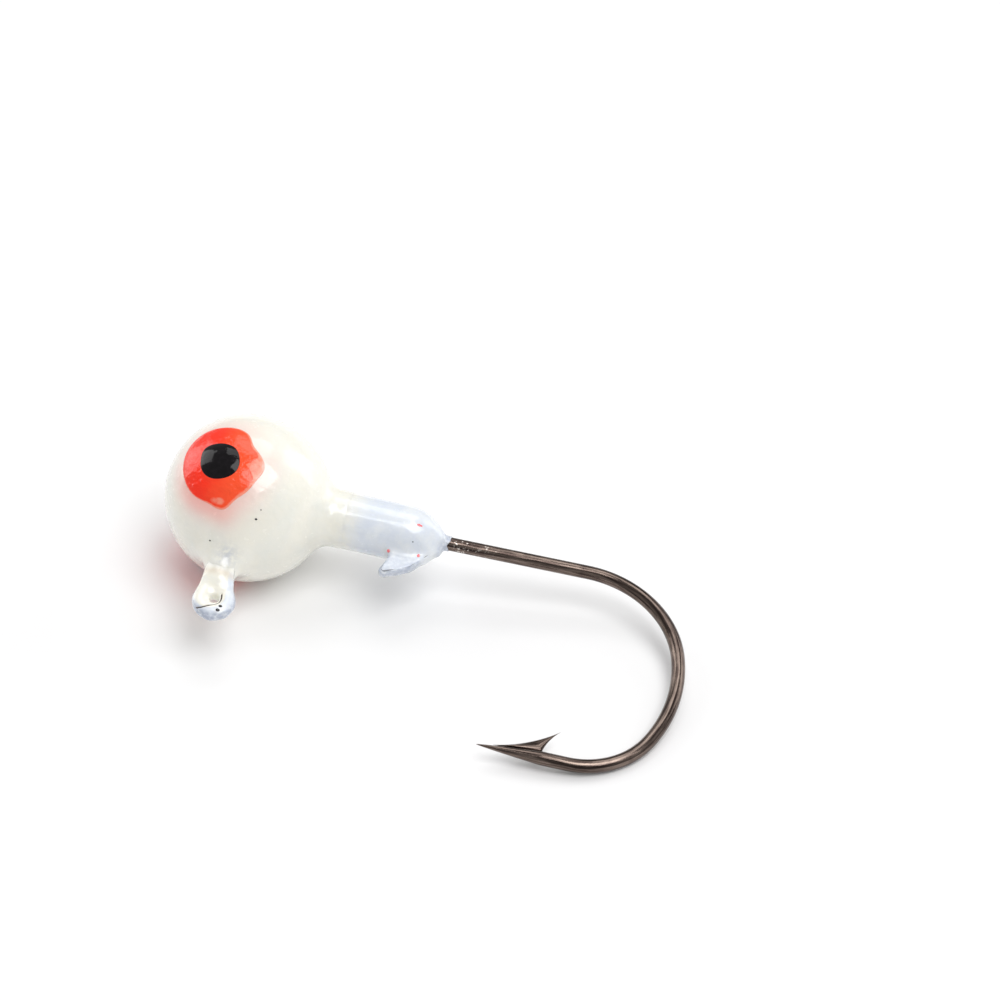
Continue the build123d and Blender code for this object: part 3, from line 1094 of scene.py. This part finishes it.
@dataclass
class Eye:
    """One painted eye: an uneven iris with a bead of black on it."""

    iris: EyePlace
    pupil: EyePlace
    coats: Coats
    iris_height: float = 0.055
    pupil_height: float = 0.22
    bubbles: tuple[tuple[float, float, float], ...] = (
        (-0.98, 1.78, 0.15), (-1.69, 2.06, 0.11), (-1.30, 1.95, 0.09),
        (0.12, -2.12, 0.10), (0.46, -1.95, 0.08),
    )
    rings: int = 44
    spokes: int = 240

    def on_ball(self, place: EyePlace, apart: np.ndarray, turn: np.ndarray, height: np.ndarray) -> np.ndarray:
        """Places at an arc distance and a turn from a direction, at a height over the cream.

        Args:
            place: the direction on the ball.
            apart: arc distance from it, in millimetres.
            turn: angle from the collar's direction towards the line tie's.
            height: height over the glow coat.

        Returns:
            As-fished places.
        """
        out, back, tie = place.axes()
        angle = apart / self.coats.ball
        flat = np.cos(turn)[:, None] * back + np.sin(turn)[:, None] * tie
        ways = np.cos(angle)[:, None] * out + np.sin(angle)[:, None] * flat
        return ways * (self.coats.ball_radius(ways) + height)[:, None]

    def grid(self) -> tuple[np.ndarray, np.ndarray]:
        """Radial shares and turns of every vertex of a front face, its pole first."""
        share = np.repeat((np.arange(self.rings) + 1) / self.rings, self.spokes)
        turn = np.tile(np.arange(self.spokes) * 2 * math.pi / self.spokes, self.rings)
        return np.append(0.0, share), np.append(0.0, turn)

    @staticmethod
    def bell(turn: np.ndarray, middle: float, width: float) -> np.ndarray:
        """Soft peak round one direction."""
        apart = np.angle(np.exp(1j * (turn - middle)))
        return np.exp(-((apart / width) ** 2))

    def cover(self, share: np.ndarray, turn: np.ndarray) -> np.ndarray:
        """How thickly the red covers the cream, from 0 to 1."""
        apart = share * self.iris.edge(turn)
        x, y = apart * np.cos(turn), apart * np.sin(turn)
        wedge = ease(-0.03, 0.04, 0.31 * (apart - 2.25) - np.abs(np.angle(np.exp(1j * turn))))
        blob = np.exp(-(((x - 0.62) / 0.60) ** 2 + ((y - 3.17) / 0.32) ** 2) ** 1.8)
        soft = 0.05 + 0.09 * self.bell(turn, 0.2, 1.2)
        rim = ease(1.0, 1.0 - soft, share)
        return np.clip((1 - 0.38 * wedge) * (1 - 0.42 * blob) * (0.35 + 0.65 * rim), 0, 1)

    def closed(
        self,
        name: str,
        front: np.ndarray,
        back: np.ndarray,
        material: bpy.types.Material,
        marks: dict[str, np.ndarray] | None = None,
    ) -> bpy.types.Object:
        """Close a front face and the face behind it into one piece.

        Args:
            name: the piece's name.
            front: places of the face that shows, its pole first.
            back: places of the face behind, in the same order.
            material: its finish.
            marks: named values for the front's vertices, which the back repeats.

        Returns:
            The closed piece.
        """
        behind = back[1:].reshape(self.rings, self.spokes, 3)[::-1].reshape(-1, 3)
        places = np.concatenate([front, behind, back[:1]])
        full = {}
        for mark, values in (marks or {}).items():
            mirrored = values[1:].reshape(self.rings, self.spokes)[::-1].ravel()
            full[mark] = np.concatenate([values, mirrored, values[:1]])
        piece = make_piece(name, places, polar_faces(2 * self.rings, self.spokes), material, marks=full)
        recalculate(piece)
        return piece

    def build(self, iris_finish: bpy.types.Material, pupil_finish: bpy.types.Material) -> None:
        """Mesh and settle the iris and the pupil."""
        side = self.iris.side.name.lower()
        share, turn = self.grid()
        edge = self.iris.edge(turn)
        height = self.iris_height * (1 - share**6) + 0.012 * (1 - share**30) - 0.004
        x, y = share * edge * np.cos(turn), share * edge * np.sin(turn)
        for across, along, size in self.bubbles:
            height += 0.35 * size * np.exp(-((x - across) ** 2 + (y - along) ** 2) / size**2)
        front = self.on_ball(self.iris, share * edge, turn, height)
        back = self.on_ball(self.iris, share * edge, turn, np.full(len(share), -0.03))
        marks = {"cover": self.cover(share, turn)}
        iris = self.closed("iris_coat_" + side, front, back, iris_finish, marks)
        settle(iris, Slot.IRIS, "iris_" + side)

        edge = self.pupil.edge(turn)
        dome = self.pupil_height * (1 - share**2.2) ** 0.85
        front = self.on_ball(self.pupil, share * edge, turn, self.iris_height + dome)
        back = self.on_ball(self.pupil, share * edge, turn, np.full(len(share), 0.01))
        pupil = self.closed("pupil_bead_" + side, front, back, pupil_finish)
        settle(pupil, Slot.PUPIL, "pupil_" + side)


# ---- Specks ----


@dataclass(frozen=True)
class Speck:
    """One stray drop: an as-fished place, and its radius."""

    place: tuple[float, float, float]
    radius: float


@dataclass
class Specks:
    """Stray drops of one colour, laid flat on the coats by Geometry Nodes."""

    name: str
    slot: Slot
    drops: tuple[Speck, ...]
    coats: Coats
    flatness: float = 0.30

    def seats(self) -> tuple[np.ndarray, np.ndarray, np.ndarray]:
        """Places on the coats, their outward directions and the drops' radii."""
        places = np.array([drop.place for drop in self.drops], float)

        def surface(spots: np.ndarray) -> np.ndarray:
            """All three coats together."""
            head = np.minimum(self.coats.glow_shape(spots), self.coats.collar_shape(spots))
            return np.minimum(head, self.coats.tie_shape(spots))

        for _ in range(8):
            slope = gradient(surface, places, 0.02)
            places = places - surface(places)[:, None] * slope / (slope**2).sum(1, keepdims=True)
        slope = gradient(surface, places, 0.02)
        outward = slope / np.linalg.norm(slope, axis=1, keepdims=True)
        return places, outward, np.array([drop.radius for drop in self.drops])

    def tree(self) -> bpy.types.NodeTree:
        """Geometry Nodes that set one flattened, slightly uneven drop on every point."""
        inputs = {"Flatness": "Float", "Seed": "Int", "Finish": "Material"}
        tree, given, made = start_tree("scattered_drops", inputs)
        new, link = tree.nodes.new, tree.links.new
        drop = new("GeometryNodeMeshIcoSphere")
        drop.inputs["Radius"].default_value = 1.0
        drop.inputs["Subdivisions"].default_value = 3
        outward, size = new("GeometryNodeInputNamedAttribute"), new("GeometryNodeInputNamedAttribute")
        outward.data_type, size.data_type = "FLOAT_VECTOR", "FLOAT"
        outward.inputs["Name"].default_value, size.inputs["Name"].default_value = "outward", "size"
        lay = new("FunctionNodeAlignRotationToVector")
        lay.axis = "Z"
        link(outward.outputs["Attribute"], lay.inputs["Vector"])
        random = new("FunctionNodeRandomValue")
        random.data_type = "FLOAT_VECTOR"
        random.inputs["Min"].default_value = (0.8, 0.7, 0.9)
        random.inputs["Max"].default_value = (1.25, 1.1, 1.1)
        link(given.outputs["Seed"], random.inputs["Seed"])
        squash = new("ShaderNodeCombineXYZ")
        squash.inputs["X"].default_value, squash.inputs["Y"].default_value = 1.0, 1.0
        link(given.outputs["Flatness"], squash.inputs["Z"])
        uneven, scale = new("ShaderNodeVectorMath"), new("ShaderNodeVectorMath")
        uneven.operation, scale.operation = "MULTIPLY", "SCALE"
        link(squash.outputs[0], uneven.inputs[0])
        link(random.outputs["Value"], uneven.inputs[1])
        link(uneven.outputs[0], scale.inputs[0])
        link(size.outputs["Attribute"], scale.inputs["Scale"])
        put = new("GeometryNodeInstanceOnPoints")
        link(given.outputs["Geometry"], put.inputs["Points"])
        link(drop.outputs["Mesh"], put.inputs["Instance"])
        link(lay.outputs["Rotation"], put.inputs["Rotation"])
        link(scale.outputs[0], put.inputs["Scale"])
        real, smooth = new("GeometryNodeRealizeInstances"), new("GeometryNodeSetShadeSmooth")
        dress = new("GeometryNodeSetMaterial")
        link(put.outputs["Instances"], real.inputs["Geometry"])
        link(real.outputs["Geometry"], smooth.inputs["Geometry"])
        link(smooth.outputs["Geometry"], dress.inputs["Geometry"])
        link(given.outputs["Finish"], dress.inputs["Material"])
        link(dress.outputs["Geometry"], made.inputs["Geometry"])
        return tree

    def build(self, finish: bpy.types.Material, seed: int) -> bpy.types.Object:
        """Scatter and settle the drops.

        Args:
            finish: their paint.
            seed: of their unevenness.

        Returns:
            All the drops as one plain mesh.
        """
        places, outward, sizes = self.seats()
        mesh = bpy.data.meshes.new(self.name)
        mesh.from_pydata(JIG.world(places).tolist(), [], [])
        mesh.attributes.new("outward", "FLOAT_VECTOR", "POINT").data.foreach_set(
            "vector", (outward @ JIG.axes).astype(np.float32).ravel()
        )
        size = mesh.attributes.new("size", "FLOAT", "POINT")
        size.data.foreach_set("value", (sizes * MM).astype(np.float32))
        seats = bpy.data.objects.new(self.name + "_seats", mesh)
        bpy.context.scene.collection.objects.link(seats)
        values = {"Flatness": self.flatness, "Seed": seed, "Finish": finish}
        piece = run_tree(seats, self.tree(), self.name, **values)
        return settle(piece, self.slot)


SPECKS = (
    (
        "stray_black_drops",
        Slot.PUPIL,
        SpeckPaint("black_drop", (0.010, 0.008, 0.010), (0.030, 0.025, 0.030)),
        (
            Speck((1.7, 4.9, -3.9), 0.10), Speck((1.9, 4.3, -4.4), 0.05), Speck((-1.4, 6.1, -1.7), 0.06),
            Speck((13.4, 1.7, -1.4), 0.05), Speck((0.7, 11.2, -0.6), 0.13), Speck((0.6, 11.6, -0.6), 0.14),
            Speck((2.6, -5.1, 3.1), 0.07), Speck((3.6, 2.2, 5.0), 0.06), Speck((9.8, -1.9, 1.1), 0.06),
        ),
    ),
    (
        "stray_pink_drops",
        Slot.IRIS,
        SpeckPaint("pink_drop", (0.95, 0.16, 0.18), (0.95, 0.35, 0.36)),
        (
            Speck((13.6, 0.5, -2.2), 0.13), Speck((13.8, 0.5, -2.2), 0.09), Speck((11.8, 2.2, -0.4), 0.15),
            Speck((14.0, 2.2, -0.5), 0.14), Speck((10.9, -1.3, 1.8), 0.08), Speck((14.6, -1.1, 0.9), 0.09),
        ),
    ),
)


# ---- Studio ----


@dataclass(frozen=True)
class SoftBox:
    """Soft box: its direction as right, ahead and up, its width and height in millimetres, its power."""

    name: str
    way: tuple[float, float, float]
    wide: float
    high: float
    watts: float


@dataclass
class Studio:
    """Pale floor, four soft boxes round the object, and the camera."""

    azimuth: float = 11.8
    elevation: float = 42.5
    distance: float = 338.0
    lens: float = 157.25
    sensor: float = 36.0
    aim_right: float = 19.45
    aim_down: float = 0.17
    floor_size: float = 3000.0
    surroundings: float = 0.40
    box_distance: float = 620.0
    boxes: tuple[SoftBox, ...] = (
        SoftBox("left_box", (-0.80, 0.53, 0.34), 300, 500, 1.0),
        SoftBox("right_box", (0.84, 0.48, 0.34), 300, 440, 0.7),
        SoftBox("top_box", (0.30, -0.25, 0.92), 420, 420, 2.3),
        SoftBox("back_box", (0.08, 0.50, 0.86), 440, 300, 0.8),
    )

    def ways(self) -> tuple[Vector, Vector, Vector]:
        """Right, level forward, and upward directions as the camera stands."""
        turn = math.radians(self.azimuth)
        right = Vector((math.cos(turn), math.sin(turn), 0))
        ahead = Vector((-math.sin(turn), math.cos(turn), 0))
        return right, ahead, Vector((0, 0, 1))

    def floor(self) -> None:
        """Plain pale floor under the object."""
        half = self.floor_size * MM / 2
        mesh = bpy.data.meshes.new("floor")
        corners = [(-half, -half, 0), (half, -half, 0), (half, half, 0), (-half, half, 0)]
        mesh.from_pydata(corners, [], [(0, 1, 2, 3)])
        sketch = Sketch("floor_card")
        cloud = sketch.noise(sketch.node("TexCoord").outputs["Object"], 20.0, 3.0)
        mesh.materials.append(
            sketch.finish(
                Base_Color=sketch.mix(cloud, (0.86, 0.86, 0.86), (0.88, 0.875, 0.88)),
                Roughness=0.6,
                Specular_IOR_Level=0.3,
                Emission_Color=(1.0, 1.0, 1.0),
                Emission_Strength=0.03,
            )
        )
        floor = bpy.data.objects.new("floor", mesh)
        bpy.context.scene.collection.objects.link(floor)

    def light(self, box: SoftBox) -> None:
        """Set one soft box so that it faces the object."""
        right, ahead, up = self.ways()
        towards = (right * box.way[0] + ahead * box.way[1] + up * box.way[2]).normalized()
        data = bpy.data.lights.new(box.name, "AREA")
        data.shape = "RECTANGLE"
        data.size, data.size_y = box.wide * MM, box.high * MM
        data.energy = box.watts
        light = bpy.data.objects.new(box.name, data)
        light.location = towards * self.box_distance * MM
        light.rotation_mode = "QUATERNION"
        light.rotation_quaternion = towards.to_track_quat("Z", "Y")
        bpy.context.scene.collection.objects.link(light)

    def camera(self) -> None:
        """Camera that looks down on the jig from the side of its line tie."""
        right, ahead, up = self.ways()
        tilt = math.radians(self.elevation)
        look = ahead * math.cos(tilt) - up * math.sin(tilt)
        top = ahead * math.sin(tilt) + up * math.cos(tilt)
        aim = Vector(JIG.origin) + right * self.aim_right * MM - top * self.aim_down * MM
        data = bpy.data.cameras.new("camera")
        data.sensor_width, data.lens = self.sensor, self.lens
        data.clip_start, data.clip_end = 0.01, 10.0
        camera = bpy.data.objects.new("camera", data)
        camera.location = aim - look * self.distance * MM
        camera.rotation_mode = "QUATERNION"
        camera.rotation_quaternion = (-look).to_track_quat("Z", "Y")
        bpy.context.scene.collection.objects.link(camera)
        bpy.context.scene.camera = camera

    def world(self) -> None:
        """Dim even surroundings."""
        world = bpy.data.worlds.new("surroundings")
        world.use_nodes = True
        background = world.node_tree.nodes["Background"]
        background.inputs["Color"].default_value = (1.0, 1.0, 1.0, 1.0)
        background.inputs["Strength"].default_value = self.surroundings
        bpy.context.scene.world = world
        bpy.context.scene.view_settings.view_transform = "Standard"
        bpy.context.scene.view_settings.look = "None"

    def build(self) -> None:
        """Set the whole studio."""
        self.floor()
        for box in self.boxes:
            self.light(box)
        self.camera()
        self.world()


def main() -> None:
    """Build every piece, set the studio and report."""
    logging.basicConfig(level=logging.INFO, format="%(name)s %(message)s")
    eyes = [EyePlace(IRIS_FACING, side, IRIS_OUTLINE) for side in Side]
    pupils = [EyePlace(PUPIL_FACING, side, PUPIL_OUTLINE) for side in Side]
    coats = Coats()
    casting = frame["nodes"]["lead_head"].data
    casting.materials.clear()
    casting.materials.append(CastLead().make())
    coats.build(DippedPaint().make(), eyes)
    for seed, (name, slot, paint, drops) in enumerate(SPECKS):
        Specks(name, slot, drops, coats).build(paint.make(), seed)
    Hook().build(HookPlating().make())
    iris_finish, pupil_finish = IrisPaint().make(), PupilPaint().make()
    for iris, pupil in zip(eyes, pupils):
        Eye(iris, pupil, coats).build(iris_finish, pupil_finish)
    Studio().build()


if __name__ == "__main__":
    main()
